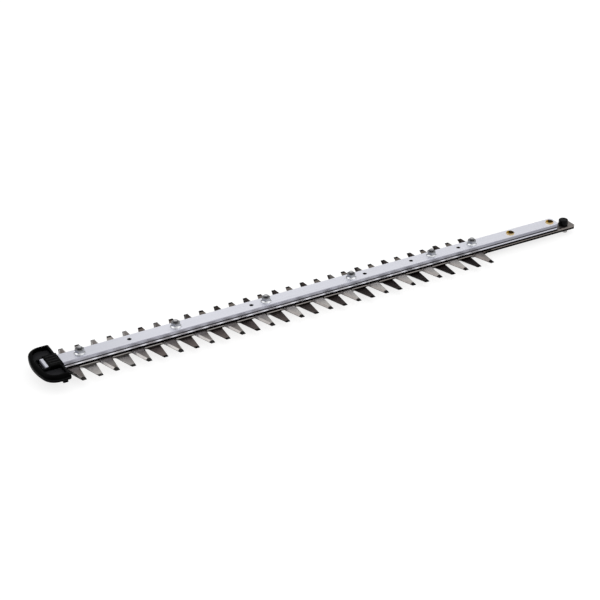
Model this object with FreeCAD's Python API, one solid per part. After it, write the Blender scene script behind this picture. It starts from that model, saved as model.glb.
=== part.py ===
import FreeCAD, Part
import math
import os

# Hedge trimmer cutter unit: a guide bar, two toothed blades that slide in opposite senses under it,
# and the screws, collars, guard and drive pins that go with them. Millimetres, +X towards the drive
# end, +Z up. The origin lies midway between the two mount holes, on the top face of the guide bar.

V = FreeCAD.Vector
UP = V(0, 0, 1)

# Guide bar section, measured down from the top face and in from the sides
bar_width = 19.5
bar_height = 9.5
bar_lip_depth = 7.5
bar_foot_inset = 1.5
bar_edge_chamfer = 0.5
bar_groove_depth_down = 4.6
bar_groove_width = 1.0
bar_groove_depth = 1.4

# Guide bar along X
bar_length = 724.0
bar_tail = 41.5
bar_tail_radius = 5.0
bar_tip_bevel = 0.9

# Gear case mount
mount_spacing = 65.0
collar_outer_dia = 11.0
collar_bore_dia = 6.6
collar_rise = 1.4
collar_end_chamfer = 0.6

# Oil holes, as distances back from the mount
oil_hole_dia = 4.0
oil_hole_backs = (115.5, 188.5, 257.5, 417.5, 576.5)

# Blade screws: the last one near the drive end, then a short bay, then equal bays to the first at the tip
screw_last_back = 94.5
screw_short_bay = 63.0
screw_tip_gap = 45.0
screw_bay_wanted = 120.0
screw_thread_dia = 6.0
screw_shoulder_dia = 8.0
screw_flange_dia = 14.0
screw_flange_thickness = 1.2
screw_head_dia = 10.4
screw_head_height = 2.4
screw_socket_across_flats = 4.0
screw_socket_depth = 1.6
screw_stick_out = 2.6

# Flange nuts
nut_across_flats = 10.0
nut_height = 6.0
nut_flange_dia = 13.4
nut_flange_rim = 1.1
nut_flange_rise = 2.1
nut_flange_step = 0.1

# Blades
blade_thickness = 2.5
blade_stroke = 7.0
blade_spine_half_width = 9.8
blade_nose_ahead = 16.0
blade_nose_radius = 3.0
blade_shoulder_gap = 4.0
blade_shoulder_run = 5.0
tail_half_width = 8.5
tail_past_pin = 13.5
tail_corner_radius = 2.0

# Teeth: every tooth leans towards the drive end, so its two flanks differ
tooth_pitch_wanted = 40.0
tooth_last_back = 87.5
tooth_tip_gap = 35.0
tooth_reach = 37.6
tooth_tip_half_width = 2.5
tooth_root_ahead = 11.9
tooth_root_behind = 4.6
tooth_root_radius = 2.5
root_facets = 3
bevel_width = 2.0
bevel_land = 0.5
tip_bevel_run = 4.0

# Drive pins and roller
upper_pin_ahead = 56.5
lower_pin_ahead = 60.5
drive_rivet_dia = 6.0
upper_pin_dia = 7.0
upper_pin_height = 5.8
pin_end_chamfer = 0.5
roller_dia = 12.6
roller_height = 8.1
roller_edge_chamfer = 0.8
lower_pin_dia = 7.0
lower_pin_height = 6.5

# Tip guard: a D-shaped rim with a recessed floor and a sleeve over the bar
guard_nose_past_bar = 11.8
guard_depth = 33.0
guard_half_width = 36.7
guard_corner_radius = 17.0
guard_nose_bulge = 3.0
guard_rise = 0.7
guard_height = 8.1
guard_edge_radius = 3.9
guard_heel_radius = 2.2
guard_rim_width = 5.2
guard_heel_width = 4.2
guard_recess_depth = 4.6
guard_bottom_radius = 2.2
guard_floor_thickness = 2.4
guard_underside_wall = 4.6
sleeve_length = 17.0
sleeve_half_width = 13.0
sleeve_rise = 1.3
sleeve_edge_radius = 1.4
ridge_count = 4
ridge_pitch = 5.3
ridge_end_gap = 2.4
ridge_radius = 1.1
ridge_lift = 0.6
window_length = 7.0
window_side_gap = 0.4
window_lip_width = 1.6
window_lip_height = 0.6
rail_width = 2.6
rail_drop = 1.2
rail_edge_radius = 0.8
tab_length = 5.7
tab_width = 4.4
tab_drop = 3.0
tab_heel_gap = 4.2

# Clearances
running_gap = 0.1
slot_side_gap = 0.2
slot_end_gap = 0.8
thread_gap = 0.05
bolt_hole_gap = 0.2
seat_gap = 0.02
roller_bore_gap = 0.05
roller_floor_gap = 0.3
guard_fit_gap = 0.05

# Levels
bar_underside = -bar_height
upper_top = bar_underside - running_gap
upper_bottom = upper_top - blade_thickness
lower_top = upper_bottom - running_gap
lower_bottom = lower_top - blade_thickness
flange_top = lower_bottom - running_gap
nut_top = nut_height
bar_half_width = bar_width / 2
bar_tip_x = bar_tail - bar_length
first_tooth_x = bar_tip_x + tooth_tip_gap
tooth_run = -tooth_last_back - first_tooth_x
tooth_gaps = round(tooth_run / tooth_pitch_wanted)
tooth_pitch = tooth_run / tooth_gaps
first_screw_x = bar_tip_x + screw_tip_gap
screw_run = -screw_last_back - screw_short_bay - first_screw_x
screw_bays = round(screw_run / screw_bay_wanted)
blade_nose_x = first_tooth_x - blade_nose_ahead
blade_tail_x = upper_pin_ahead + tail_past_pin
margin = 1.0


def screw_places():
    """X of each blade screw, from the tip to the drive end."""
    bay = screw_run / screw_bays
    return [first_screw_x + bay * step for step in range(screw_bays + 1)] + [-screw_last_back]


def mount_places():
    """X of the two mount holes."""
    return [-mount_spacing / 2, mount_spacing / 2]


def box_between(x_range, y_range, z_range):
    """A box from its extents along the three axes."""
    low = V(x_range[0], y_range[0], z_range[0])
    return Part.makeBox(x_range[1] - x_range[0], y_range[1] - y_range[0], z_range[1] - z_range[0], low)


def upright_cylinder(x, radius, bottom, top):
    """A cylinder on the centre line, standing along Z."""
    return Part.makeCylinder(radius, top - bottom, V(x, 0, bottom), UP)


def plan_prism(points, bottom, top):
    """A closed polygon of plan points, carried from one level to another."""
    corners = [V(x, y, bottom) for x, y in points]
    return Part.Face(Part.makePolygon(corners + corners[:1])).extrude(V(0, 0, top - bottom))


def slot_prism(x, reach, width, bottom, top):
    """A round-ended slot along X on the centre line, reaching equally far to both sides of x."""
    half = width / 2
    straight = reach - half
    left, right = x - straight, x + straight
    edges = [
        Part.LineSegment(V(left, -half, bottom), V(right, -half, bottom)).toShape(),
        Part.Arc(V(right, -half, bottom), V(right + half, 0, bottom), V(right, half, bottom)).toShape(),
        Part.LineSegment(V(right, half, bottom), V(left, half, bottom)).toShape(),
        Part.Arc(V(left, half, bottom), V(left - half, 0, bottom), V(left, -half, bottom)).toShape(),
    ]
    return Part.Face(Part.Wire(edges)).extrude(V(0, 0, top - bottom))


def hexagon_prism(x, across_flats, bottom, top):
    """A hexagonal prism on the centre line, with two corners on the X axis."""
    radius = across_flats / math.sqrt(3)
    corners = [math.radians(60 * step) for step in range(6)]
    points = [(x + radius * math.cos(turn), radius * math.sin(turn)) for turn in corners]
    return plan_prism(points, bottom, top)


def turned(x, profile):
    """A body of revolution about the vertical line at x, from (radius, level) points."""
    corners = [V(x + radius, 0, level) for radius, level in profile]
    face = Part.Face(Part.makePolygon(corners + corners[:1]))
    return face.revolve(V(x, 0, 0), UP, 360)


def vertical_edges(shape, wanted):
    """The straight upright edges whose (x, y) place passes the test."""
    found = []
    for edge in shape.Edges:
        low, high = edge.Vertexes[0].Point, edge.Vertexes[-1].Point
        upright = abs(low.x - high.x) < 1e-6 and abs(low.y - high.y) < 1e-6
        if upright and wanted(low.x, low.y):
            found.append(edge)
    return found


def level_edges(shape, level):
    """The edges that lie wholly at one level."""
    return [edge for edge in shape.Edges if all(abs(v.Z - level) < 1e-6 for v in edge.Vertexes)
            and abs(edge.BoundBox.ZLength) < 1e-6]


def bar_section(grow):
    """The bar's section as (y, z) points, grown on every side for a socket that fits it."""
    half = bar_half_width + grow
    foot = half - bar_foot_inset
    floor = half - bar_groove_depth
    top = grow
    groove_top = -bar_groove_depth_down + bar_groove_width / 2 - grow
    groove_bottom = -bar_groove_depth_down - bar_groove_width / 2 + grow
    lip = -bar_lip_depth - grow
    side = [
        (half - bar_edge_chamfer, top), (half, top - bar_edge_chamfer),
        (half, groove_top), (floor, groove_top), (floor, groove_bottom), (half, groove_bottom),
        (half, lip), (foot, lip), (foot, bar_underside - grow),
    ]
    return side + [(-y, z) for y, z in reversed(side)]


def bar_length_of(section, start, end):
    """A length of bar section along X."""
    corners = [V(start, y, z) for y, z in section]
    return Part.Face(Part.makePolygon(corners + corners[:1])).extrude(V(end - start, 0, 0))


def make_guide_bar():
    """The extrusion, with its rounded drive end, bevelled tip and drilled holes."""
    bar = bar_length_of(bar_section(0), bar_tip_x, bar_tail)
    plan = box_between((bar_tip_x, bar_tail), (-bar_half_width, bar_half_width), (bar_underside, 0))
    plan = plan.makeFillet(bar_tail_radius, vertical_edges(plan, lambda x, y: x > 0))
    bar = bar.common(plan)
    tip = [(bar_tip_x - margin, margin), (bar_tip_x - margin, -bar_tip_bevel - margin),
           (bar_tip_x + bar_tip_bevel + margin, margin)]
    corners = [V(x, -bar_half_width, z) for x, z in tip]
    bevel = Part.Face(Part.makePolygon(corners + corners[:1])).extrude(V(0, bar_width, 0))
    bolt_radius = screw_thread_dia / 2 + bolt_hole_gap
    collar_radius = collar_outer_dia / 2 + seat_gap
    holes = [upright_cylinder(x, bolt_radius, bar_underside, 0) for x in screw_places()]
    holes += [upright_cylinder(-back, oil_hole_dia / 2, bar_underside, 0) for back in oil_hole_backs]
    holes += [upright_cylinder(x, collar_radius, bar_underside, 0) for x in mount_places()]
    return bar.cut([bevel] + holes)


def tooth_corners(x):
    """Plan corners of one tooth on the +Y side, from its root towards the tip round to its other root."""
    return [
        (x - tooth_root_ahead, blade_spine_half_width),
        (x - tooth_tip_half_width, tooth_reach),
        (x + tooth_tip_half_width, tooth_reach),
        (x + tooth_root_behind, blade_spine_half_width),
    ]


def flank_points(root, tip, air, spread):
    """Plan points from a flank's outer end to its root, then round the root's corner to the gullet's floor.

    root and tip are the flank's plan ends, air is +1 or -1 for the side of it that is open along X, and
    spread is how far the points lie inside the steel.
    """
    root, tip, up = V(*root, 0), V(*tip, 0), V(0, 1, 0)
    along = (tip - root).normalize()
    out = V(along.y, -along.x, 0) * air
    centre = root + along * (tooth_root_radius * (1 - out.y) / along.y) + out * tooth_root_radius
    shares = [step / root_facets for step in range(root_facets + 1)]
    corner = [centre - (out * (1 - share) + up * share).normalize() * (tooth_root_radius + spread)
              for share in shares]
    end = corner[0] + along * ((tooth_reach + margin - corner[0].y) / along.y)
    return [end] + corner


def gullet_outline(left, right, hand, level, spread):
    """The space between two neighbouring teeth of one blade, as plan points at one level."""
    _, _, left_tip, left_root = tooth_corners(left)
    right_root, right_tip, _, _ = tooth_corners(right)
    right_side = flank_points(right_root, right_tip, -1, spread)
    outline = flank_points(left_root, left_tip, 1, spread) + right_side[::-1]
    return [V(point.x, hand * point.y, level) for point in outline]


def stacked(outlines):
    """A solid whose sides run straight from each outline to the next one above it."""
    faces = [Part.Face(Part.makePolygon(ring + ring[:1])) for ring in (outlines[0], outlines[-1])]
    for lower, upper in zip(outlines[:-1], outlines[1:]):
        corners = list(zip(lower, upper))
        for (start, over_start), (end, over_end) in zip(corners, corners[1:] + corners[:1]):
            faces.append(Part.Face(Part.makePolygon([start, end, over_end, over_start, start])))
    solid = Part.Solid(Part.Shell(faces))
    return solid if solid.Volume > 0 else solid.reversed()


def gullet(left, right, hand, shear, back):
    """What is ground away between two teeth: straight past the land, then a bevelled mouth."""
    lift = 1 if back > shear else -1
    spread = bevel_width / (blade_thickness - bevel_land)
    steps = [(shear - lift * margin, 0), (shear + lift * bevel_land, 0),
             (back + lift * margin, bevel_width + spread * margin)]
    return stacked([gullet_outline(left, right, hand, level, reach) for level, reach in steps])


def tip_bevel(hand, shear, back):
    """What is ground off every tooth's outer end on one side, from full thickness down to the land."""
    slope = (back - shear - math.copysign(bevel_land, back - shear)) / tip_bevel_run
    inner, outer = tooth_reach - tip_bevel_run - margin, tooth_reach + margin
    rim = back + slope * margin
    section = [(inner, rim), (outer, rim), (outer, back - slope * (tip_bevel_run + margin))]
    start, end = blade_nose_x - margin, -tooth_last_back + tooth_root_behind + blade_shoulder_gap
    corners = [V(start, hand * y, z) for y, z in section]
    return Part.Face(Part.makePolygon(corners + corners[:1])).extrude(V(end - start, 0, 0))


def mirrored(points):
    """Plan points on the -Y side that match points on the +Y side, in the order that closes the loop."""
    return [(x, -y) for x, y in reversed(points)]


def make_blade(teeth, pin_x, bottom, top, shear):
    """One toothed blade: spine, teeth on both sides, tail, slots and ground edges."""
    first_root, first_tip, _, _ = tooth_corners(teeth[0])
    _, _, last_tip, last_root = tooth_corners(teeth[-1])
    shoulder_x = -tooth_last_back + tooth_root_behind + blade_shoulder_gap
    side = [
        (blade_nose_x, blade_spine_half_width), first_root, first_tip, last_tip, last_root,
        (shoulder_x, blade_spine_half_width), (shoulder_x + blade_shoulder_run, tail_half_width),
        (blade_tail_x, tail_half_width),
    ]
    blade = plan_prism(side + mirrored(side), bottom, top)

    def is_end_root(x, y):
        on_spine = abs(abs(y) - blade_spine_half_width) < 1e-6
        return on_spine and min(abs(x - first_root[0]), abs(x - last_root[0])) < 1e-6

    def is_nose(x, y):
        return x < blade_nose_x + margin

    def is_tail(x, y):
        return x > blade_tail_x - margin

    rounded = ((tooth_root_radius, is_end_root), (blade_nose_radius, is_nose), (tail_corner_radius, is_tail))
    for radius, wanted in rounded:
        blade = blade.makeFillet(radius, vertical_edges(blade, wanted))

    back = bottom if shear == top else top
    run_out = tooth_root_ahead + tooth_root_behind + 2 * tooth_root_radius
    stations = [teeth[0] - run_out] + teeth + [teeth[-1] + run_out]
    cuts = [gullet(left, right, hand, shear, back)
            for hand in (1, -1) for left, right in zip(stations[:-1], stations[1:])]
    cuts += [tip_bevel(hand, shear, back) for hand in (1, -1)]
    shoulder_width = screw_shoulder_dia + 2 * slot_side_gap
    collar_width = collar_outer_dia + 2 * slot_side_gap
    travel = blade_stroke + slot_end_gap
    for width, places in ((shoulder_width, screw_places()), (collar_width, mount_places())):
        cuts += [slot_prism(x, width / 2 + travel, width, bottom, top) for x in places]
    cuts.append(upright_cylinder(pin_x, drive_rivet_dia / 2 + seat_gap, bottom, top))
    return blade.cut(cuts)


def make_screw(x):
    """A shoulder screw from below: head with a hexagon socket, wide flange, shoulder, threaded end."""
    head, flange = screw_head_dia / 2, screw_flange_dia / 2
    shoulder, thread = screw_shoulder_dia / 2, screw_thread_dia / 2
    flange_bottom = flange_top - screw_flange_thickness
    head_bottom = flange_bottom - screw_head_height
    end = nut_top + screw_stick_out
    screw = turned(x, [
        (0, head_bottom), (head, head_bottom), (head, flange_bottom), (flange, flange_bottom),
        (flange, flange_top), (shoulder, flange_top), (shoulder, bar_underside),
        (thread, bar_underside), (thread, end), (0, end),
    ])
    socket_end = head_bottom + screw_socket_depth
    return screw.cut(hexagon_prism(x, screw_socket_across_flats, head_bottom, socket_end))


def make_nut(x):
    """A hexagon flange nut on the bar's top face."""
    step = nut_across_flats / math.sqrt(3) + nut_flange_step
    flange = turned(x, [(0, 0), (nut_flange_dia / 2, 0), (nut_flange_dia / 2, nut_flange_rim),
                        (step, nut_flange_rise), (0, nut_flange_rise)])
    nut = hexagon_prism(x, nut_across_flats, 0, nut_top).fuse(flange).removeSplitter()
    return nut.cut(upright_cylinder(x, screw_thread_dia / 2 + thread_gap, 0, nut_top))


def make_collar(x):
    """A spacer collar that stands a little proud of the bar and passes the slots of both blades."""
    outer, bore = collar_outer_dia / 2, collar_bore_dia / 2
    return turned(x, [(bore, flange_top), (outer, flange_top), (outer, collar_rise - collar_end_chamfer),
                      (outer - collar_end_chamfer, collar_rise), (bore, collar_rise)])


def make_upper_pin():
    """The pin that is riveted flush in the upper blade and carries the roller."""
    rivet, pin = drive_rivet_dia / 2, upper_pin_dia / 2
    end = upper_top + upper_pin_height
    return turned(upper_pin_ahead, [
        (0, upper_bottom), (rivet, upper_bottom), (rivet, upper_top), (pin, upper_top),
        (pin, end - pin_end_chamfer), (pin - pin_end_chamfer, end), (0, end),
    ])


def make_lower_pin():
    """The stub that is riveted flush in the lower blade and points down."""
    rivet, pin = drive_rivet_dia / 2, lower_pin_dia / 2
    end = lower_bottom - lower_pin_height
    return turned(lower_pin_ahead, [
        (0, lower_top), (rivet, lower_top), (rivet, lower_bottom), (pin, lower_bottom),
        (pin, end + pin_end_chamfer), (pin - pin_end_chamfer, end), (0, end),
    ])


def make_roller():
    """The closed roller cap that turns on the upper drive pin."""
    bottom = upper_top + roller_floor_gap
    top = upper_top + roller_height
    bore_top = upper_top + upper_pin_height + roller_floor_gap
    bore_radius = upper_pin_dia / 2 + roller_bore_gap
    radius = roller_dia / 2
    return turned(upper_pin_ahead, [
        (bore_radius, bottom), (radius, bottom), (radius, top - roller_edge_chamfer),
        (radius - roller_edge_chamfer, top), (0, top), (0, bore_top), (bore_radius, bore_top),
    ])


def guard_plan(inset, heel_inset, bottom, top):
    """The guard's D-shaped plan: straight heel, short sides, round corners and a shallow nose arc."""
    nose = bar_tip_x - guard_nose_past_bar
    heel = nose + guard_depth - heel_inset
    back = guard_corner_radius + guard_nose_bulge
    corner_x = nose + back
    corner_y = guard_half_width - guard_corner_radius
    excess = back ** 2 + corner_y ** 2 - guard_corner_radius ** 2
    centre = nose + excess / (2 * guard_nose_bulge)
    spread = math.atan2(corner_y, centre - corner_x)
    side = guard_half_width - inset
    radius = guard_corner_radius - inset

    def on_corner(turn, hand):
        return V(corner_x - radius * math.sin(turn), hand * (corner_y + radius * math.cos(turn)), bottom)

    meet = math.pi / 2 - spread
    edges = []
    for hand in (1, -1):
        heel_corner, turn_start = V(heel, hand * side, bottom), V(corner_x, hand * side, bottom)
        edges.append(Part.LineSegment(heel_corner, turn_start).toShape())
        edges.append(Part.Arc(turn_start, on_corner(meet / 2, hand), on_corner(meet, hand)).toShape())
    edges.append(Part.Arc(on_corner(meet, 1), V(nose + inset, 0, bottom), on_corner(meet, -1)).toShape())
    edges.append(Part.LineSegment(V(heel, side, bottom), V(heel, -side, bottom)).toShape())
    outline = Part.Wire(Part.__sortEdges__(edges))
    return Part.Face(outline).extrude(V(0, 0, top - bottom))


def make_guard():
    """The moulded tip guard: rounded rim, recessed floor, ribbed sleeve, blind window and tabs."""
    heel = bar_tip_x - guard_nose_past_bar + guard_depth
    top = guard_rise
    bottom = top - guard_height
    floor = top - guard_recess_depth
    floor_underside = floor - guard_floor_thickness
    sleeve_front = heel - sleeve_length
    window_front = sleeve_front - window_length
    window_half = bar_half_width + window_side_gap
    rail_half = window_half + rail_width

    body = guard_plan(0, 0, bottom, top)
    body = body.makeFillet(guard_heel_radius, vertical_edges(body, lambda x, y: x > heel - margin))
    body = body.makeFillet(guard_bottom_radius, level_edges(body, bottom))
    body = body.makeFillet(guard_edge_radius, level_edges(body, top))
    recess = guard_plan(guard_rim_width, guard_heel_width, floor, top + margin)
    hollow = guard_plan(guard_underside_wall, guard_heel_width, bottom - margin, floor_underside)
    spine = box_between((bar_tip_x - guard_depth, heel), (-rail_half, rail_half), (bottom - margin, floor))
    body = body.cut([recess, hollow.cut(spine)])

    sleeve = box_between((sleeve_front, heel), (-sleeve_half_width, sleeve_half_width), (bottom, sleeve_rise))
    sleeve = sleeve.makeFillet(sleeve_edge_radius, level_edges(sleeve, sleeve_rise))
    rails = box_between((window_front, sleeve_front + margin), (-rail_half, rail_half),
                        (floor_underside, -rail_drop))
    rails = rails.makeFillet(rail_edge_radius, level_edges(rails, -rail_drop))
    lip = box_between((window_front - window_lip_width, window_front + margin), (-rail_half, rail_half),
                      (floor_underside, floor + window_lip_height))
    ridge_length = sleeve_length - 2 * ridge_end_gap
    ridges = []
    for step in range(ridge_count):
        y = ridge_pitch * (step - (ridge_count - 1) / 2)
        start = V(sleeve_front + ridge_end_gap, y, sleeve_rise + ridge_lift - ridge_radius)
        ridges.append(Part.makeCylinder(ridge_radius, ridge_length, start, V(1, 0, 0)))
    tab_end = heel - tab_heel_gap
    tabs = []
    for hand in (1, -1):
        outer = hand * (guard_half_width - guard_edge_radius / 2)
        tabs.append(box_between((tab_end - tab_length, tab_end), sorted((outer, outer - hand * tab_width)),
                                (bottom - tab_drop, bottom + guard_edge_radius)))
    body = body.fuse([sleeve, rails, lip] + ridges + tabs).removeSplitter()

    socket = bar_length_of(bar_section(guard_fit_gap), bar_tip_x - guard_fit_gap, heel + margin)
    window = box_between((window_front, sleeve_front), (-window_half, window_half),
                         (floor_underside, sleeve_rise + margin))
    return body.cut([socket, window])


def build():
    """Every piece by its node name."""
    upper_teeth = [first_tooth_x + tooth_pitch * step for step in range(tooth_gaps + 1)]
    lower_teeth = [x + tooth_pitch / 2 for x in upper_teeth[:-1]]
    pieces = {
        "guide_bar": make_guide_bar(),
        "tip_guard": make_guard(),
        "upper_blade": make_blade(upper_teeth, upper_pin_ahead, upper_bottom, upper_top, upper_bottom),
        "lower_blade": make_blade(lower_teeth, lower_pin_ahead, lower_bottom, lower_top, lower_top),
        "upper_drive_pin": make_upper_pin(),
        "lower_drive_pin": make_lower_pin(),
        "drive_roller": make_roller(),
    }
    for number, x in enumerate(screw_places(), 1):
        pieces[f"blade_screw_{number}"] = make_screw(x)
        pieces[f"blade_nut_{number}"] = make_nut(x)
    for number, x in enumerate(mount_places(), 1):
        pieces[f"mount_collar_{number}"] = make_collar(x)
    return pieces


os.makedirs("parts", exist_ok=True)
for name, shape in build().items():
    shape.exportStep(f"parts/{name}.step")
    print(name, len(shape.Solids), shape.isValid(), round(shape.Volume, 1))
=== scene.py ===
"""Looks of a hedge trimmer blade unit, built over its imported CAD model.

The guide bar, the two toothed blades and the tip guard keep their CAD meshes and get finishes here. The
fasteners, collars, drive pins and roller are replaced by surfaces worked out with numpy. Sizes of finishes
and pieces are millimetres in the CAD frame, sizes of the studio are metres, and meshes are put into
Blender in metres.
"""

import logging
import math
from dataclasses import dataclass
from enum import Enum
from typing import Any, Optional, Sequence

import bpy
import numpy as np
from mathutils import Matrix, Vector


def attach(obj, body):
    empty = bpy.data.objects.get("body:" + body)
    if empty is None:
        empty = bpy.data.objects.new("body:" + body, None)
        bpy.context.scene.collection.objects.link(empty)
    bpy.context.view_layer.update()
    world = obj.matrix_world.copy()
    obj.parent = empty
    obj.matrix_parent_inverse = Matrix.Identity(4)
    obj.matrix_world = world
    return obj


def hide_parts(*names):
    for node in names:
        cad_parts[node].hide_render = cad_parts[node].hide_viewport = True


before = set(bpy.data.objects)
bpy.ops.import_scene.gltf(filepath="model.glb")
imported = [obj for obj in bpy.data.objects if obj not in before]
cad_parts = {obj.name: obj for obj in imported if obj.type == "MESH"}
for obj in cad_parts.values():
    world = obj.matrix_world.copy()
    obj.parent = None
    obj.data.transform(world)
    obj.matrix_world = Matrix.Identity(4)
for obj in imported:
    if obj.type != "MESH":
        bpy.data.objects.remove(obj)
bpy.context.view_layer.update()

LOG = logging.getLogger("blade_unit")
MM = 0.001
FULL_TURN = 2 * math.pi
# Degrees on each side of a hexagon's corner that its easing takes off
CORNER_EASE = 1.2

Socket = bpy.types.NodeSocket
Material = bpy.types.Material
Colour = tuple[float, float, float, float]
# The low and the high end of a band
Limits = tuple[float, float]
# Where a tone sets in, where it is full, and its share there
Run = tuple[float, float, float]
# Metres along X, Y and Z
Place = tuple[float, float, float]
# Radius, level and ease length of each corner
Profile = Sequence[tuple[float, float, float]]

WHITE: Colour = (1.0, 1.0, 1.0, 1.0)


class Body(Enum):
    """The moving bodies of the unit."""

    GUIDE = "guide"
    UPPER = "upper_blade"
    LOWER = "lower_blade"
    ROLLER = "roller"


class Slot(Enum):
    """Names of the material slots of the pieces that are made here."""

    SCREW = "screw_zinc"
    NUT = "nut_zinc"
    PIN = "pin_steel"
    ROLLER = "roller_black"
    COLLAR = "collar_yellow_zinc"


class Shading(Enum):
    """The largest angle in degrees between two faces that still shade as one."""

    CRISP = 27.0
    EASED = 42.0


class Lay(Enum):
    """The direction that a grain runs in: the share of its pattern along each axis."""

    ALONG_BAR = (0.012, 1.0, 1.0)
    ACROSS_TOOTH = (1.0, 0.04, 1.0)
    ROUND_AXIS = (0.25, 0.25, 1.0)


class Reading(Enum):
    """How a noise becomes a tone: the value where the tone sets in and the value where it is full."""

    EVEN = (0.30, 0.70)
    BREAKS = (0.35, 0.62)
    CLOUDS = (0.35, 0.70)
    DRIFT = (0.42, 0.66)
    PATCHES = (0.30, 0.55)
    RINGS = (0.50, 0.80)
    STAINS = (0.45, 0.75)
    STREAKS = (0.35, 0.75)


class Bench:
    """A node tree with short calls that place nodes and join them."""

    def __init__(self, tree: bpy.types.NodeTree) -> None:
        """Keep the tree to work on."""
        self.tree = tree

    def put(self, socket: Socket, value: Any) -> None:
        """Link a socket into another one, or set its constant."""
        if isinstance(value, Socket):
            self.tree.links.new(value, socket)
        else:
            socket.default_value = value

    def add(self, kind: str, sockets: Optional[dict] = None, **settings: Any) -> bpy.types.Node:
        """Place one node.

        Args:
            kind: The node's type name.
            sockets: Input sockets by name or number, each with a constant or a socket to link.
            **settings: The node's own properties.

        Returns:
            The new node.
        """
        node = self.tree.nodes.new(kind)
        for key, value in settings.items():
            setattr(node, key, value)
        for key, value in (sockets or {}).items():
            self.put(node.inputs[key], value)
        return node

    def math(self, operation: str, first: Any, second: Any = 0.0) -> Socket:
        """Join two values by one operation and give the result's socket."""
        return self.add("ShaderNodeMath", {0: first, 1: second}, operation=operation).outputs[0]

    def times(self, first: Any, *others: Any) -> Socket:
        """The product of several values."""
        for other in others:
            first = self.math("MULTIPLY", first, other)
        return first

    def most(self, first: Any, *others: Any) -> Socket:
        """The largest of several values."""
        for other in others:
            first = self.math("MAXIMUM", first, other)
        return first

    def reach(self, first: Any, second: Any) -> Socket:
        """The distance that two lengths at right angles make."""
        return self.math("SQRT", self.math("ADD", self.times(first, first), self.times(second, second)))

    def above(self, value: Any, limit: float) -> Socket:
        """1 where a value is over a limit, 0 elsewhere."""
        return self.math("GREATER_THAN", value, limit)

    def below(self, value: Any, limit: float) -> Socket:
        """1 where a value is under a limit, 0 elsewhere."""
        return self.math("LESS_THAN", value, limit)

    def between(self, value: Any, limits: Limits, unit: float = 1.0) -> Socket:
        """1 where a value lies between two limits, given in a unit, and 0 elsewhere."""
        low, high = limits
        return self.times(self.above(value, low * unit), self.below(value, high * unit))

    def span(self, value: Any, low: float, high: float, start: float, end: float) -> Socket:
        """Carry a value from one range to another with soft ends.

        Args:
            value: The socket to read.
            low: Where the range starts.
            high: Where the range ends.
            start: What low becomes.
            end: What high becomes.

        Returns:
            The socket of the carried value.
        """
        sockets = {"Value": value, "From Min": low, "From Max": high, "To Min": start, "To Max": end}
        return self.add("ShaderNodeMapRange", sockets, interpolation_type="SMOOTHSTEP").outputs["Result"]

    def run(self, length: Any, run: Run) -> Socket:
        """The share of a tone at a length in metres, from its run in millimetres."""
        start, end, share = run
        return self.span(length, start * MM, end * MM, 0.0, share)

    def read(self, noise: Any, reading: Reading, start: float, end: float) -> Socket:
        """Read a noise as a tone that goes from a start value to an end value."""
        return self.span(noise, *reading.value, start, end)

    def blend(self, share: Any, first: Any, second: Any) -> Socket:
        """Mix two colours by a share and give the result's socket."""
        node = self.add("ShaderNodeMix", {0: share, 6: first, 7: second}, data_type="RGBA")
        return node.outputs[2]

    def noise(self, vector: Any, scale: Any, detail: float = 3.0) -> Socket:
        """A soft random value over the surface."""
        sockets = {"Vector": vector, "Scale": scale, "Detail": detail}
        return self.add("ShaderNodeTexNoise", sockets).outputs[0]


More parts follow.
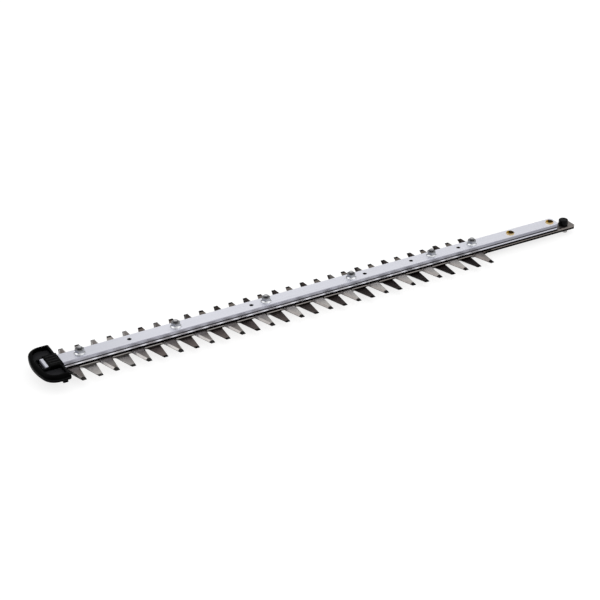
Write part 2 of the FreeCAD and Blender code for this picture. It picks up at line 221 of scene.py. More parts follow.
class Effects:
    """The shader node groups that several finishes share, built once."""

    BROAD_SCALE: float = 0.23
    CLOUD_SCALE: float = 0.03
    SPECK_SOFTNESS: float = 0.05
    EDGE_COSINES: Limits = (0.995, 0.86)
    EDGE_SAMPLES: int = 6

    def __init__(self) -> None:
        """Build every group."""
        self.grain = self._grain()
        self.wear = self._wear()
        self.specks = self._specks()

    @staticmethod
    def _group(name: str, inputs: dict[str, Any],
               outputs: Sequence[str]) -> tuple[Bench, bpy.types.Node, bpy.types.Node]:
        """Start a group with named sockets.

        Args:
            name: The group's name.
            inputs: Input names with their defaults; None makes a vector input.
            outputs: Names of the float outputs.

        Returns:
            A bench on the group's tree, its input node and its output node.
        """
        tree = bpy.data.node_groups.new(name, "ShaderNodeTree")
        for key, value in inputs.items():
            kind = "NodeSocketVector" if value is None else "NodeSocketFloat"
            socket = tree.interface.new_socket(name=key, in_out="INPUT", socket_type=kind)
            if value is not None:
                socket.default_value = value
        for key in outputs:
            tree.interface.new_socket(name=key, in_out="OUTPUT", socket_type="NodeSocketFloat")
        bench = Bench(tree)
        return bench, bench.add("NodeGroupInput"), bench.add("NodeGroupOutput")

    def _grain(self) -> bpy.types.NodeTree:
        """Brush or draw lines: noise read on coordinates that are squeezed along the lines' direction."""
        bench, given, out = self._group(
            "drawn_grain", {"Vector": None, "Lay": None, "Scale": 900.0}, ("Fine", "Broad"))
        laid = bench.add("ShaderNodeVectorMath", {0: given.outputs["Vector"], 1: given.outputs["Lay"]},
                         operation="MULTIPLY").outputs[0]
        broad = bench.times(given.outputs["Scale"], self.BROAD_SCALE)
        bench.put(out.inputs["Fine"], bench.noise(laid, given.outputs["Scale"], 4.0))
        bench.put(out.inputs["Broad"], bench.noise(laid, broad, 2.0))
        return bench.tree

    def _wear(self) -> bpy.types.NodeTree:
        """Rubbed edges: where the rounded normal leaves the face's own, broken up by noise."""
        bench, given, out = self._group(
            "edge_wear", {"Vector": None, "Radius": 0.0004, "Scale": 400.0}, ("Mask",))
        rounded = bench.add("ShaderNodeBevel", {"Radius": given.outputs["Radius"]}, samples=self.EDGE_SAMPLES)
        flat = bench.add("ShaderNodeNewGeometry")
        agree = bench.add("ShaderNodeVectorMath", {0: rounded.outputs[0], 1: flat.outputs["Normal"]},
                          operation="DOT_PRODUCT")
        edge = bench.span(agree.outputs["Value"], *self.EDGE_COSINES, 0.0, 1.0)
        noise = bench.noise(given.outputs["Vector"], given.outputs["Scale"])
        bench.put(out.inputs["Mask"], bench.times(edge, bench.read(noise, Reading.BREAKS, 0.25, 1.0)))
        return bench.tree

    def _specks(self) -> bpy.types.NodeTree:
        """Dust and pits: the small spots where a fine noise passes a limit, and a broad cloud."""
        bench, given, out = self._group(
            "specks", {"Vector": None, "Scale": 1500.0, "Limit": 0.66}, ("Mask", "Cloud"))
        value = bench.noise(given.outputs["Vector"], given.outputs["Scale"], 2.0)
        over = bench.math("SUBTRACT", value, given.outputs["Limit"])
        bench.put(out.inputs["Mask"], bench.span(over, 0.0, self.SPECK_SOFTNESS, 0.0, 1.0))
        cloud_scale = bench.times(given.outputs["Scale"], self.CLOUD_SCALE)
        bench.put(out.inputs["Cloud"], bench.noise(given.outputs["Vector"], cloud_scale, 5.0))
        return bench.tree


class Coat:
    """A material in the making: its bench, its Principled shader and its Object coordinates."""

    def __init__(self, name: str) -> None:
        """Start an empty material with a name."""
        self.material = bpy.data.materials.new(name)
        self.material.use_nodes = True
        self.bench = Bench(self.material.node_tree)
        self.shader = self.material.node_tree.nodes["Principled BSDF"]
        self.place = self.bench.add("ShaderNodeTexCoord").outputs["Object"]

    def group(self, tree: bpy.types.NodeTree, **values: Any) -> bpy.types.Node:
        """Place a shared group, read on Object coordinates, with its own values."""
        return self.bench.add("ShaderNodeGroup", {"Vector": self.place, **values}, node_tree=tree)

    def axes(self) -> tuple[Socket, Socket, Socket]:
        """Place along the bar, place across it and level, in metres."""
        parts = self.bench.add("ShaderNodeSeparateXYZ", {0: self.place}).outputs
        return parts["X"], parts["Y"], parts["Z"]

    def level_share(self) -> Socket:
        """How far the face lies flat: the size of its normal's upright part, from 0 to 1."""
        normal = self.bench.add("ShaderNodeNewGeometry").outputs["True Normal"]
        turned = self.bench.add("ShaderNodeVectorTransform", {0: normal}, vector_type="NORMAL",
                                convert_from="WORLD", convert_to="OBJECT").outputs[0]
        upright = self.bench.add("ShaderNodeSeparateXYZ", {0: turned}).outputs["Z"]
        return self.bench.math("ABSOLUTE", upright)

    def uneven(self, noise: Socket, roughness: float, less: float, more: float) -> Socket:
        """A roughness that a noise lowers and raises by up to the given steps."""
        return self.bench.read(noise, Reading.EVEN, roughness - less, roughness + more)

    def dress(self, colour: Any, roughness: Any, metallic: Any, height: Socket, strength: float,
              depth: float = 0.1) -> Material:
        """Join the finish to the shader.

        Args:
            colour: Base colour, a constant or a socket.
            roughness: Roughness, a constant or a socket.
            metallic: 1 for bare metal, 0 for plastic and for painted shade and grease, a constant or a
                socket.
            height: The socket that the relief follows.
            strength: How much of the relief shows.
            depth: The relief's height in millimetres.

        Returns:
            The finished material.
        """
        sockets = {"Height": height, "Strength": strength, "Distance": depth * MM}
        self.bench.put(self.shader.inputs["Base Color"], colour)
        self.bench.put(self.shader.inputs["Roughness"], roughness)
        self.bench.put(self.shader.inputs["Metallic"], metallic)
        self.bench.put(self.shader.inputs["Normal"], self.bench.add("ShaderNodeBump", sockets).outputs[0])
        return self.material


@dataclass(frozen=True)
class BarAluminium:
    """Drawn aluminium: a pale brushed top that is darker towards the tip, greyer sides as painted shade with
    a painted highlight on the lip, sides darker towards the drive end, chamfers painted darker as shade, and
    painted shade with grease in the grooves and bores, under the foot and round the oil holes."""

    pale: Colour = (0.91, 0.918, 0.99, 1.0)
    # Upright sides: painted shade, darker than the top
    side_shade: Colour = (0.46, 0.465, 0.53, 1.0)
    # A paler band on the lip: painted highlight
    lip_highlight: Colour = (0.90, 0.90, 0.97, 1.0)
    dull: Colour = (0.52, 0.53, 0.59, 1.0)
    # Chamfers between the top and the sides: painted shade over their highlight
    edge: Colour = (0.40, 0.40, 0.46, 1.0)
    # Sides darker towards the drive end
    darker_at_drive: Colour = (0.16, 0.16, 0.19, 1.0)
    # Near black: painted shade with grease in grooves, bores, under the foot and round the oil holes
    shade_and_grease: Colour = (0.004, 0.004, 0.005, 1.0)
    edge_tilt: Limits = (0.5, 0.95)
    dull_run: Run = (-500.0, -680.0, 0.4)
    darker_at_drive_run: Run = (-130.0, -60.0, 0.62)
    lip_band: Limits = (-7.6, -5.1)
    lip_at_tail: float = 0.5
    streak_share: float = 0.12
    speck_share: float = 0.2
    groove_band: Limits = (-5.5, -3.75)
    groove_share: float = 0.85
    foot: float = -7.4
    bore_half: float = 5.7
    bore_ends: Limits = (-681.0, 40.5)
    oil_holes: tuple[float, ...] = (-115.5, -188.5, -257.5, -417.5, -576.5)
    # A ring of painted shade round each oil hole
    darkening_run: Run = (2.9, 2.4, 0.92)
    roughness: float = 0.42
    gloss: float = 0.0

    def paint(self, effects: Effects) -> Material:
        """Make the material."""
        coat = Coat("bar_aluminium")
        bench = coat.bench
        x, y, z = coat.axes()
        level = coat.level_share()
        upright = bench.below(level, self.edge_tilt[0])
        grain = coat.group(effects.grain, Lay=Lay.ALONG_BAR.value, Scale=2600.0)
        specks = coat.group(effects.specks, Scale=900.0, Limit=0.70)
        colour = bench.blend(bench.run(x, self.dull_run), self.pale, self.dull)
        # Upright sides painted darker as shade, and darker still towards the drive end
        colour = bench.blend(upright, colour, self.side_shade)
        colour = bench.blend(bench.times(upright, bench.run(x, self.darker_at_drive_run)), colour, self.darker_at_drive)
        start, end, _ = self.darker_at_drive_run
        # Painted highlight on the lip, fading towards the drive end
        lip_share = bench.span(x, start * MM, end * MM, 1.0, self.lip_at_tail)
        lip_highlight_share = bench.times(upright, bench.between(z, self.lip_band, MM), lip_share)
        colour = bench.blend(lip_highlight_share, colour, self.lip_highlight)
        # Chamfers painted darker as shade over their highlight
        colour = bench.blend(bench.between(level, self.edge_tilt), colour, self.edge)
        streaks = bench.read(grain.outputs["Broad"], Reading.STREAKS, 0.0, self.streak_share)
        colour = bench.blend(streaks, colour, self.dull)
        colour = bench.blend(bench.times(specks.outputs["Mask"], self.speck_share), colour, self.dull)
        # Painted shade with grease where shade falls, where the metal is turned off too
        shaded = self.shade_and_grease_share(bench, x, bench.math("ABSOLUTE", y), z, upright)
        colour = bench.blend(shaded, colour, self.shade_and_grease)
        rough = coat.uneven(grain.outputs["Fine"], self.roughness, 0.06, 0.08)
        coat.shader.inputs["Specular IOR Level"].default_value = self.gloss
        return coat.dress(colour, rough, bench.math("SUBTRACT", 1.0, shaded), grain.outputs["Fine"], 0.10)

    def shade_and_grease_share(self, bench: Bench, x: Socket, across: Socket, z: Socket, upright: Socket) -> Socket:
        """Where shade is painted, with grease: in the grooves and bores, under the foot and round the oil
        holes.

        Args:
            bench: The material's bench.
            x: Place along the bar.
            across: Distance from the centre line.
            z: Level.
            upright: 1 on upright faces.

        Returns:
            The share of painted shade and grease, from 0 to 1.
        """
        # Painted shade in the groove, in the bores, under the foot and in a ring round each oil hole
        in_groove = bench.times(bench.between(z, self.groove_band, MM), self.groove_share)
        in_bore = bench.times(upright, bench.below(across, self.bore_half * MM),
                              bench.between(x, self.bore_ends, MM))
        along = 1.0
        for hole in self.oil_holes:
            along = bench.math("MINIMUM", along, bench.math("ABSOLUTE", bench.math("SUBTRACT", x, hole * MM)))
        hole_shade = bench.run(bench.reach(along, across), self.darkening_run)
        return bench.most(in_groove, in_bore, bench.below(z, self.foot * MM), hole_shade)


@dataclass(frozen=True)
class GuardPlastic:
    """Moulded black nylon: a satin skin with fine grain, painted lighter on the guard's floor as a sheen, and
    rubbed a little on the sleeve's edges and rib tops, with painted glints there."""

    black: Colour = (0.0008, 0.0008, 0.0009, 1.0)
    # The guard's floor: painted sheen
    floor_sheen: Colour = (0.018, 0.018, 0.02, 1.0)
    # The sleeve's edges and rib tops: rubbed, with painted glints
    rubbed_and_glint: Colour = (0.05, 0.05, 0.052, 1.0)
    floor_band: Limits = (-4.2, -3.6)
    sleeve_half: float = 13.5
    rib_glint_run: Run = (1.5, 1.85, 0.4)
    grain_scale: float = 2400.0
    roughness: float = 0.28
    gloss: float = 0.022

    def paint(self, effects: Effects) -> Material:
        """Make the material."""
        coat = Coat("guard_plastic")
        bench = coat.bench
        _, y, z = coat.axes()
        wear = coat.group(effects.wear, Radius=0.5 * MM, Scale=260.0)
        specks = coat.group(effects.specks, Scale=2600.0, Limit=0.60)
        on_sleeve = bench.below(bench.math("ABSOLUTE", y), self.sleeve_half * MM)
        worn_and_glint = bench.times(bench.most(wear.outputs["Mask"], bench.run(z, self.rib_glint_run)), on_sleeve)
        # The floor painted lighter as a sheen, the sleeve's edges and rib tops rubbed with painted glints
        colour = bench.blend(bench.between(z, self.floor_band, MM), self.black, self.floor_sheen)
        colour = bench.blend(worn_and_glint, colour, self.rubbed_and_glint)
        rough = coat.uneven(specks.outputs["Cloud"], self.roughness, 0.06, 0.08)
        coat.shader.inputs["Specular IOR Level"].default_value = self.gloss
        return coat.dress(colour, rough, 0.0, bench.noise(coat.place, self.grain_scale, 2.0), 0.10)


@dataclass(frozen=True)
class BladeSteel:
    """Hardened blade steel: brownish rolled faces, paler ground bevels with a painted highlight, dark upright
    faces and tips, painted shade near the roots and a painted shadow of the bar, lighter or darker along a
    part of its length, with its own tone on the far side's teeth."""

    name: str
    face: Colour
    stain: Colour
    wall: Colour
    tail_wall: Colour
    far_face: Colour
    darkening: Colour
    darkening_run: Run
    lighter_run: Run
    lighter: Colour = (0.58, 0.557, 0.53, 1.0)
    # Bevels: paler ground steel with a painted highlight
    ground_and_highlight: Colour = (0.52, 0.497, 0.485, 1.0)
    # Near black: pits, darker tips, painted shade near the roots and the painted shadow of the bar
    edge: Colour = (0.005, 0.004, 0.004, 1.0)
    bevel_tilt: Limits = (0.4, 0.93)
    stain_share: float = 0.8
    speck_share: float = 0.4
    stroke_share: float = 0.35
    # Painted shade on the bevels near the tooth roots
    root_shade_run: Run = (14.0, 11.5, 0.45)
    far_along: Run = (-580.0, -460.0, 1.0)
    far_across: Run = (10.5, 13.0, 1.0)
    far_least: float = 0.75
    tail_from: float = -68.0
    # Painted shadow of the bar's lip on the blade: across, along and level
    bar_shadow_run: Run = (10.3, 9.9, 1.0)
    bar_shadow_end: float = 41.0
    bar_shadow_level: float = -10.9
    tip_run: Run = (34.9, 35.9, 0.95)
    tip_ragged: float = 3.0
    roughness: float = 0.40
    bevel_smoother: float = 0.14
    gloss: float = 0.0

    def paint(self, effects: Effects) -> Material:
        """Make the material."""
        coat = Coat(self.name)
        bench = coat.bench
        x, y, z = coat.axes()
        across = bench.math("ABSOLUTE", y)
        level = coat.level_share()
        is_bevel = bench.between(level, self.bevel_tilt)
        is_wall = bench.below(level, self.bevel_tilt[0])
        grain = coat.group(effects.grain, Lay=Lay.ALONG_BAR.value, Scale=900.0)
        strokes = coat.group(effects.grain, Lay=Lay.ACROSS_TOOTH.value, Scale=2200.0)
        specks = coat.group(effects.specks, Scale=1300.0, Limit=0.66)
        cloud = specks.outputs["Cloud"]

        lightened = bench.run(x, self.lighter_run)
        colour = bench.blend(bench.read(cloud, Reading.STAINS, 0.0, self.stain_share), self.face, self.stain)
        colour = bench.blend(bench.times(specks.outputs["Mask"], self.speck_share), colour, self.edge)
        colour = bench.blend(lightened, colour, self.lighter)
        # Bevels: ground steel with a painted highlight, and painted shade near the roots
        stroked = bench.read(strokes.outputs["Broad"], Reading.STREAKS, 0.0, self.stroke_share)
        bevel = bench.blend(stroked, self.ground_and_highlight, self.face)
        bevel = bench.blend(bench.run(across, self.root_shade_run), bevel, self.edge)
        bevel = bench.blend(lightened, bevel, self.face)
        colour = bench.blend(is_bevel, colour, bevel)
        colour = bench.blend(bench.run(x, self.darkening_run), colour, self.darkening)

        far = bench.times(bench.above(y, 0.0), bench.run(x, self.far_along),
                          bench.run(across, self.far_across),
                          bench.read(cloud, Reading.PATCHES, self.far_least, 1.0))
        colour = bench.blend(far, colour, self.far_face)
        wall = bench.blend(bench.above(x, self.tail_from * MM), self.wall, self.tail_wall)
        colour = bench.blend(is_wall, colour, wall)
        # Painted shadow of the bar under its lip, near black and not metal
        bar_shadow = bench.times(bench.run(across, self.bar_shadow_run), bench.below(x, self.bar_shadow_end * MM),
                             bench.above(z, self.bar_shadow_level * MM))
        colour = bench.blend(bar_shadow, colour, self.edge)
        ragged = bench.math("ADD", across, bench.times(cloud, self.tip_ragged * MM))
        tip = bench.run(ragged, self.tip_run)
        colour = bench.blend(tip, colour, self.edge)

        rough = coat.uneven(grain.outputs["Broad"], self.roughness, 0.06, 0.08)
        rough = bench.math("SUBTRACT", rough, bench.times(is_bevel, self.bevel_smoother))
        height = bench.blend(is_bevel, grain.outputs["Fine"], strokes.outputs["Fine"])
        bare = bench.math("SUBTRACT", 1.0, bench.most(bar_shadow, tip, is_wall))
        coat.shader.inputs["Specular IOR Level"].default_value = self.gloss
        return coat.dress(colour, rough, bare, height, 0.12)


@dataclass(frozen=True)
class PlatedZinc:
    """Bright zinc plating: glossy and faintly clouded, greyer on upright walls as painted shade, darker above
    a level as a painted dark reflection, and with bright rubbed edges."""

    name: str
    bright: Colour = (0.82, 0.83, 0.85, 1.0)
    clouded: Colour = (0.58, 0.59, 0.61, 1.0)
    # Upright walls: painted shade
    wall: Colour = (0.31, 0.32, 0.35, 1.0)
    # Near black: painted dark reflection on the nut's crown and the stud's end
    painted_dark: Colour = (0.05, 0.05, 0.054, 1.0)
    wall_tilt: float = 0.4
    wall_from: float = 1.3
    dark_top_run: Run = (5.1, 5.5, 0.75)
    dark_top_end: float = 8.5
    rub_share: float = 0.6
    roughness: float = 0.12

    def paint(self, effects: Effects) -> Material:
        """Make the material."""
        coat = Coat(self.name)
        bench = coat.bench
        _, _, z = coat.axes()
        specks = coat.group(effects.specks, Scale=9000.0, Limit=0.62)
        wear = coat.group(effects.wear, Radius=0.25 * MM, Scale=900.0)
        cloud = specks.outputs["Cloud"]
        colour = bench.blend(bench.read(cloud, Reading.CLOUDS, 0.0, 1.0), self.bright, self.clouded)
        # Upright walls painted greyer as shade
        on_wall = bench.times(bench.below(coat.level_share(), self.wall_tilt),
                              bench.above(z, self.wall_from * MM))
        colour = bench.blend(on_wall, colour, self.wall)
        # Painted dark reflection above a level: the nut's crown and the stud's end
        dark_top = bench.times(bench.run(z, self.dark_top_run), bench.below(z, self.dark_top_end * MM))
        colour = bench.blend(dark_top, colour, self.painted_dark)
        colour = bench.blend(bench.times(wear.outputs["Mask"], self.rub_share), colour, self.bright)
        rough = coat.uneven(cloud, self.roughness, 0.04, 0.12)
        return coat.dress(colour, rough, 1.0, specks.outputs["Mask"], 0.05, 0.05)


@dataclass(frozen=True)
class YellowZinc:
    """Yellow chromated zinc: gold that drifts towards green and rose, pale on the rim with a painted
    highlight, and painted shade deep in the bore and on one side of it."""

    centre: float
    gold: Colour = (0.95, 0.60, 0.02, 1.0)
    rose: Colour = (0.80, 0.42, 0.06, 1.0)
    green: Colour = (0.60, 0.55, 0.04, 1.0)
    rubbed_and_glint: Colour = (0.56, 0.54, 0.50, 1.0)
    # Near black: painted shade in the bore
    painted_dark: Colour = (0.008, 0.007, 0.006, 1.0)
    green_share: float = 0.7
    # The rim: pale, with a painted highlight
    rim_run: Run = (4.65, 4.85, 0.45)
    # Painted shade deep in the bore and on its side towards +X
    bore_shade_run: Run = (-1.1, -2.2, 1.0)
    bore_shade_radius: float = 4.7
    one_side_shade_run: Run = (0.4, 1.6, 0.95)
    one_side_shade_radius: float = 4.9
    roughness: float = 0.27
    metallic: float = 0.5

    def paint(self, effects: Effects) -> Material:
        """Make the material."""
        coat = Coat("collar_yellow_zinc")
        bench = coat.bench
        x, y, z = coat.axes()
        along = bench.math("SUBTRACT", x, bench.times(bench.math("SIGN", x), self.centre * MM))
        radius = bench.reach(along, y)
        rings = coat.group(effects.grain, Lay=Lay.ROUND_AXIS.value, Scale=2400.0)
        specks = coat.group(effects.specks, Scale=9000.0, Limit=0.64)
        drift = bench.read(specks.outputs["Cloud"], Reading.DRIFT, 0.0, 1.0)
        colour = bench.blend(drift, self.gold, self.rose)
        greenish = bench.read(rings.outputs["Broad"], Reading.RINGS, 0.0, self.green_share)
        colour = bench.blend(greenish, colour, self.green)
        colour = bench.blend(bench.run(radius, self.rim_run), colour, self.rubbed_and_glint)
        # Painted shade deep in the bore and on its side towards +X
        bore_shade = bench.times(bench.run(z, self.bore_shade_run), bench.below(radius, self.bore_shade_radius * MM))
        one_side_shade = bench.times(bench.run(along, self.one_side_shade_run), bench.below(radius, self.one_side_shade_radius * MM))
        colour = bench.blend(bench.most(bore_shade, one_side_shade), colour, self.painted_dark)
        rough = coat.uneven(rings.outputs["Fine"], self.roughness, 0.07, 0.07)
        return coat.dress(colour, rough, self.metallic, rings.outputs["Fine"], 0.08, 0.05)


@dataclass(frozen=True)
class TurnedSteel:
    """Turned and hardened steel: fine rings round the axis, bright or blackened, rubbed at its edges with a
    painted glint.
    """

    name: str
    body: Colour
    rubbed_and_glint: Colour
    roughness: float
    metallic: float
    gloss: float = 0.5
    rub_share: float = 0.7

    def paint(self, effects: Effects) -> Material:
        """Make the material."""
        coat = Coat(self.name)
        bench = coat.bench
        rings = coat.group(effects.grain, Lay=Lay.ROUND_AXIS.value, Scale=2800.0)
        wear = coat.group(effects.wear, Radius=0.4 * MM, Scale=700.0)
        # Edges rubbed, with a painted glint
        colour = bench.blend(bench.times(wear.outputs["Mask"], self.rub_share), self.body, self.rubbed_and_glint)
        rough = coat.uneven(rings.outputs["Fine"], self.roughness, 0.05, 0.09)
        coat.shader.inputs["Specular IOR Level"].default_value = self.gloss
        return coat.dress(colour, rough, self.metallic, rings.outputs["Fine"], 0.10, 0.05)


def ring_piece(name: str, rings: np.ndarray, loop: bool, shading: Shading) -> bpy.types.Object:
    """Make an object from rings of points.

    The point in row i and column j joins row i + 1 and column j + 1 by one quad, and the last column
    joins the first. With loop the last row joins the first row too. Otherwise a fan of triangles to the
    mean of the end ring closes each end. Rows that rise and columns that turn anticlockwise face outwards.

    Args:
        name: The object's name.
        rings: Points in millimetres, shaped rows, columns, 3.
        loop: Whether the rows close on themselves.
        shading: How its faces meet in the light.

    Returns:
        The object, linked to the scene.
    """
    rows, columns, _ = rings.shape
    row = np.arange(rows if loop else rows - 1)[:, None]
    column = np.arange(columns)[None, :]
    ahead, above = (column + 1) % columns, (row + 1) % rows
    corners = (row * columns + column, row * columns + ahead,
               above * columns + ahead, above * columns + column)
    faces = np.stack(corners, -1).reshape(-1, 4).tolist()
    points = rings.reshape(-1, 3)
    if not loop:
        points = np.vstack([points, rings[0].mean(0), rings[-1].mean(0)])
        here, there = column[0], ahead[0]
        last = (rows - 1) * columns
        low = np.stack([there, here, np.full(columns, rows * columns)], -1)
        high = np.stack([here + last, there + last, np.full(columns, rows * columns + 1)], -1)
        faces += low.tolist() + high.tolist()
    mesh = bpy.data.meshes.new(name)
    mesh.from_pydata((points * MM).tolist(), [], faces)
    mesh.shade_smooth()
    mesh.set_sharp_from_angle(angle=math.radians(shading.value))
    piece = bpy.data.objects.new(name, mesh)
    bpy.context.scene.collection.objects.link(piece)
    return piece


def polar(x: float, radius: np.ndarray, level: np.ndarray, turn: np.ndarray) -> np.ndarray:
    """Points at a radius from the upright line at x and at a level, for each turn about it.

    Args:
        x: Where the upright line stands on the centre line.
        radius: Radii, shaped rows, columns or rows, 1.
        level: Levels, shaped like radius.
        turn: Angles of the columns in radians.

    Returns:
        Points shaped rows, columns, 3.
    """
    radius, level, turn = np.broadcast_arrays(radius, level, turn[None, :])
    return np.stack([x + radius * np.cos(turn), radius * np.sin(turn), level], -1)


def spread(rows: Sequence[tuple[Any, Any]], turn: np.ndarray) -> tuple[np.ndarray, np.ndarray]:
    """Radii and levels of a table's rows at every turn, each shaped rows, columns."""
    radius = np.stack([np.broadcast_to(r, turn.shape) for r, _ in rows])
    level = np.stack([np.broadcast_to(z, turn.shape) for _, z in rows])
    return radius, level


def eased_profile(corners: Profile, loop: bool, steps: int = 4) -> np.ndarray:
    """A profile whose corners are eased.

    Each corner gives way to the parabola that leaves one side and meets the other at the ease length:
    corner + ease * ((1 - t)^2 * towards the one before + t^2 * towards the one after), t from 0 to 1.

    Args:
        corners: Radius, level and ease length of each corner.
        loop: Whether the last corner is followed by the first.
        steps: Points on each eased corner.

    Returns:
        Radii and levels, shaped points, 2.
    """
    table = np.asarray(corners, float)
    spots, ease = table[:, :2], table[:, 2].copy()
    before, after = np.roll(spots, 1, 0) - spots, np.roll(spots, -1, 0) - spots
    if not loop:
        ease[[0, -1]] = 0
    before /= np.linalg.norm(before, axis=1, keepdims=True)
    after /= np.linalg.norm(after, axis=1, keepdims=True)
    t = np.linspace(0, 1, steps)[None, :, None]
    bend = (1 - t) ** 2 * before[:, None] + t ** 2 * after[:, None]
    line = (spots[:, None] + ease[:, None, None] * bend).reshape(-1, 2)
    keep = np.r_[True, np.linalg.norm(np.diff(line, axis=0), axis=1) > 1e-6]
    return line[keep]


def turned_piece(name: str, x: float, corners: Profile, loop: bool = False,
                 columns: int = 72) -> bpy.types.Object:
    """A body turned on a lathe: an eased profile carried round the upright line at x.

    Args:
        name: The object's name.
        x: Where the upright line stands.
        corners: Radius, level and ease length of each corner, from the lower inside outwards and up.
        loop: Whether the profile closes on itself, as a ring's does.
        columns: Steps round the axis.

    Returns:
        The object.
    """
    line = eased_profile(corners, loop)
    turn = np.arange(columns) * FULL_TURN / columns
    return ring_piece(name, polar(x, line[:, :1], line[:, 1:], turn), loop, Shading.EASED)


def hexagon_turns() -> np.ndarray:
    """Angles round a hexagon, close together at its six corners."""
    side = np.radians([0, CORNER_EASE, 2.2, 6, 12, 18, 24, 30, 36, 42, 48, 54, 57.8, 60 - CORNER_EASE])
    return (np.arange(6)[:, None] * FULL_TURN / 6 + side[None, :]).ravel()


def hexagon_radius(turn: np.ndarray, across_flats: float) -> np.ndarray:
    """Radius of a hexagon with corners on the X axis: half the flats over the cosine of the angle from
    the nearest flat's middle, and no more than a circle that just takes the corners off."""
    from_flat = np.mod(turn, FULL_TURN / 6) - FULL_TURN / 12
    limit = across_flats / 2 / math.cos(math.radians(30 - CORNER_EASE))
    return np.minimum(across_flats / 2 / np.cos(from_flat), limit)


class SubAssembly:
    """What every group of pieces shares: how a finished piece takes its place."""

    def settle(self, piece: bpy.types.Object, body: Body, node: str, slot: Slot, finish: Material) -> None:
        """Give a piece its finish and let it ride in place of its CAD node.

        Args:
            piece: The finished mesh object.
            body: The body that it moves with.
            node: The CAD node that it stands for.
            slot: Not used.
            finish: The material.
        """
        piece.data.materials.append(finish)
        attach(piece, body.value)
        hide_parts(node)
        LOG.info("%s: %d faces, for %s", piece.name, len(piece.data.polygons), node)

    def finish_node(self, node: str, finish: Material) -> None:
        """Give a CAD node that stays its material."""
        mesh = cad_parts[node].data
        mesh.materials.clear()
        mesh.materials.append(finish)
        LOG.info("%s: CAD mesh kept, %s", node, finish.name)


@dataclass
class Cutter(SubAssembly):
    """The guide bar with the two toothed blades under it."""

    bar: BarAluminium = BarAluminium()
    upper: BladeSteel = BladeSteel(
        "blade_steel_upper", face=(0.245, 0.224, 0.216, 1.0), stain=(0.11, 0.085, 0.07, 1.0),
        wall=(0.09, 0.08, 0.07, 1.0), tail_wall=(0.40, 0.36, 0.34, 1.0),
        far_face=(0.024, 0.015, 0.013, 1.0), darkening=(0.05, 0.03, 0.027, 1.0),
        darkening_run=(-115.0, -75.0, 0.6), lighter_run=(-500.0, -340.0, 0.85))
    # The lower blade's upright faces are near black: painted shade under the upper blade
    lower: BladeSteel = BladeSteel(
        "blade_steel_lower", face=(0.165, 0.136, 0.126, 1.0), stain=(0.022, 0.017, 0.014, 1.0),
        wall=(0.004, 0.004, 0.004, 1.0), tail_wall=(0.003, 0.003, 0.003, 1.0),
        far_face=(0.17, 0.148, 0.13, 1.0), darkening=(0.008, 0.0035, 0.003, 1.0),
        darkening_run=(-580.0, -170.0, 0.98), lighter_run=(-570.0, -600.0, 0.85))

    def build(self, effects: Effects) -> None:
        """Dress the three CAD nodes."""
        self.finish_node("guide_bar", self.bar.paint(effects))
        self.finish_node("upper_blade", self.upper.paint(effects))
        self.finish_node("lower_blade", self.lower.paint(effects))


